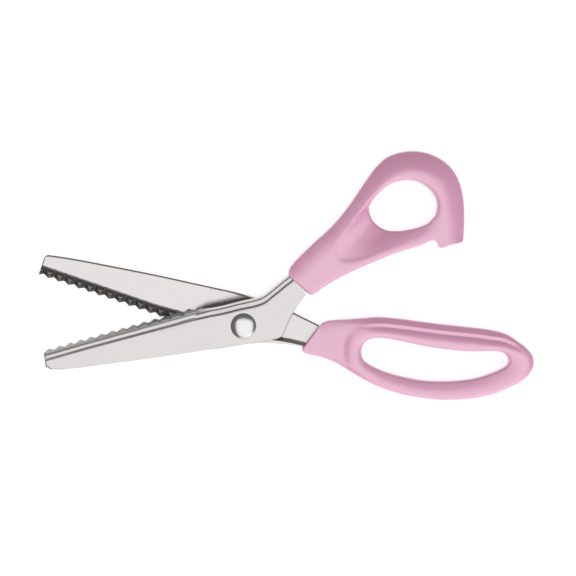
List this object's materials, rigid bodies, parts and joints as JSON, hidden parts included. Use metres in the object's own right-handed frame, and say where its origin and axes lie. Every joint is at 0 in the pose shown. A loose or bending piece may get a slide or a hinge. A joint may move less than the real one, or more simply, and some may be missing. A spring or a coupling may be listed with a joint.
{
  "type": "pinking shears",
  "caption": "Pinking shears with zigzag blades on one pivot and pink moulded handles, lying part open.",
  "frame": {"origin": "on the pivot axis, on the plane that the shears lie on, at the bolt's flat end", "axes": "+X from the pivot towards the handles, +Y towards the thumb handle's side, +Z from the rear blade to the front blade along the pivot axis"},
  "size_m": [0.2322, 0.1173, 0.014],
  "materials": {
    "blade_steel": "lengthwise brushed stainless steel, darker in the ground grooves",
    "bolt_steel": "satin nickel-plated dome",
    "washer_steel": "plain zinc-plated steel",
    "handle_plastic": "satin pink moulded plastic with soft highlights"
  },
  "bodies": {
    "rear_half": {"rear_blade": "blade_steel", "finger_handle": "handle_plastic", "blade_washer": "washer_steel", "flat_washer": "washer_steel"},
    "front_half": {"front_blade": "blade_steel", "thumb_handle": "handle_plastic", "pivot_bolt": "bolt_steel", "wave_washer": "washer_steel", "lock_nut": "washer_steel"}
  },
  "joints": [
    {"name": "blade_pivot", "type": "hinge", "parent": "rear_half", "child": "front_half", "pos_m": [0, 0, 0.007], "axis": [0, 0, 1], "range_deg": [-21, 90]}
  ]
}
